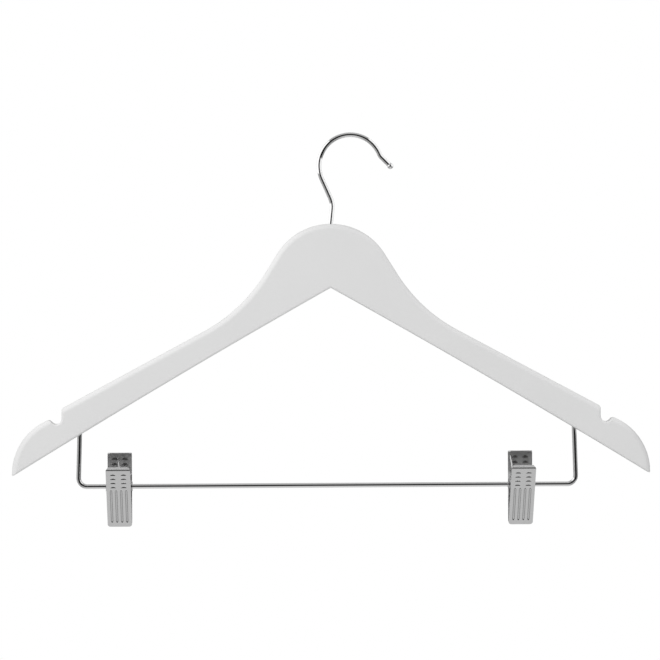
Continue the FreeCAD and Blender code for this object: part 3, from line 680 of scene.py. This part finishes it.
# Arms: a tongue on the left one fills a slot in the right one; the sleeve and the bar's legs go into bores
whole_arm = make_arm()
arms = {
    "left": copy_of(whole_arm, "left_wooden_arm", Matrix.Scale(-1, 4, (1, 0, 0))),
    "right": copy_of(whole_arm, "right_wooden_arm", Matrix()),
}
arms["left"].data.flip_normals()
carve(whole_arm, slot_block(), "INTERSECT")
carve(arms["right"], slot_block(), "DIFFERENCE")
carve(arms["left"], whole_arm, "UNION")
bore_foot, bore_top = (Vector((0, 0, CREST + rise)) for rise in (-NECK_BORE_DEPTH, NECK_BORE_DEPTH))
for side, arm in arms.items():
    carve(arm, bore_rod(NECK_BORE, bore_foot, bore_top), "DIFFERENCE")
    carve(arm, leg_rod(side), "DIFFERENCE")
    bpy.ops.object.shade_smooth_by_angle(angle=ARM_CREASE)
    even = arm.modifiers.new("even", "WEIGHTED_NORMAL")
    even.keep_sharp = True
    even.weight = 100
    bpy.ops.object.modifier_apply(modifier="even")
    arm.data.materials.append(white_lacquer(side))
    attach(arm, "frame")
    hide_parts(f"{side}_arm")

# Springs: one wound spring round each clip's pivot, set down in its place
spring_master, spring_length = make_spring()
spring_master.data.materials.append(spring_steel())
for side in SIDES:
    middle = pivot_of(side) + Vector((SPRING_SHIFT[side], 0, 0))
    wound = copy_of(spring_master, f"{side}_wound_spring", Matrix.Translation(middle) @ SPRING_TURN)
    coil = Vector((spring_length / 2 - SPRING_WIRE / 2, 0, 0))
    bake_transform(wound)
    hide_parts(f"{side}_spring")
bpy.data.objects.remove(spring_master)

# Pads: one ribbed wedge in each jaw's tip
pad_master = make_pad()
pad_master.data.materials.append(black_rubber())
for side in SIDES:
    for jaw, turn in JAW_TURN.items():
        place = Matrix.Translation(pivot_of(side)) @ turn
        pad = copy_of(pad_master, f"{side}_{jaw}_ribbed_pad", place)
        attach(pad, f"{side}_clip_{jaw}")
        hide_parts(f"{side}_{jaw}_pad")
bpy.data.objects.remove(pad_master)

# Floor, below the picture's lower edge
deselect_all()
bpy.ops.mesh.primitive_circle_add(
    vertices=FLOOR_SIDES, radius=FLOOR_RADIUS, fill_type="NGON", location=(0, 0, FLOOR_LEVEL))
floor = bpy.context.object
floor.name = "floor"
floor.data.materials.append(pale_floor())
floor.visible_glossy = False

# Light: a white background, a dark room for the metal to mirror, and soft light from the upper left
world = bpy.data.worlds.new("studio")
bpy.context.scene.world = world
graph = Graph(world)
path = graph.add("ShaderNodeLightPath")
direction = graph.add("ShaderNodeTexCoord")["Generated"]
split = graph.add("ShaderNodeSeparateXYZ", {"Vector": direction})
to_side = (split["X"] - DARK_ASIDE).math("ABSOLUTE")
dark = above(graph, split["Y"].math("ABSOLUTE"), DARK_WAY) * under(graph, to_side, DARK_WIDTH)
dark = dark * under(graph, split["Z"], DARK_TOP) * above(graph, split["Z"], DARK_FOOT)
walls = WALL_GLOW + BACK_GLOW * above(graph, split["Y"], BACK_WALL)
walls = walls + CEILING_GLOW * above(graph, split["Z"], CEILING)
low_down = above(graph, split["Z"] * -1.0, GROUND)
ground = GROUND_GLOW - GROUND_FADE * above(graph, split["X"].math("ABSOLUTE"), GROUND_SIDES)
room = walls * (1.0 - low_down) + ground * low_down
mirrored = room * (1.0 - dark) + DARK_GLOW * dark
seen = path["Is Camera Ray"]
glossy = path["Is Glossy Ray"]
level = seen + (1.0 - seen) * (glossy * mirrored + (1.0 - glossy) * FILL_LIGHT)
background = graph.add("ShaderNodeBackground", {"Color": grey(1.0), "Strength": level})["Background"]
graph.add("ShaderNodeOutputWorld", {"Surface": background})

deselect_all()
bpy.ops.object.light_add(type="AREA", location=KEY_PLACE)
key = bpy.context.object
key.data.size = KEY_SIZE
key.visible_glossy = False
key.data.energy = KEY_POWER
key.rotation_euler = (KEY_AIM - KEY_PLACE).to_track_quat("-Z", "Y").to_euler()

# White cards beside the hook, for its wire to mirror
for side in SIDES:
    place = Vector((CARD_ASIDE[side], 0, CARD_HEIGHT))
    bpy.ops.object.light_add(type="AREA", location=place)
    card = bpy.context.object
    card.data.shape = "RECTANGLE"
    card.data.size, card.data.size_y = CARD_SIZE
    card.data.energy = CARD_GLOW * math.pi * CARD_SIZE[0] * CARD_SIZE[1]
    card.rotation_euler = Vector((-place.x, 0, 0)).to_track_quat("-Z", "Y").to_euler()
    card.visible_diffuse = False

# Camera
bpy.ops.object.camera_add(
    location=(CAMERA_ASIDE, -CAMERA_DISTANCE, AIM_Z),
    rotation=(math.pi / 2, CAMERA_ROLL, math.atan2(CAMERA_ASIDE - AIM_X, CAMERA_DISTANCE)))
camera = bpy.context.object
camera.data.lens = camera.data.sensor_width * CAMERA_DISTANCE / (IMAGE_PIXELS * PIXEL)
bpy.context.scene.camera = camera
bpy.context.scene.view_settings.view_transform = "Standard"
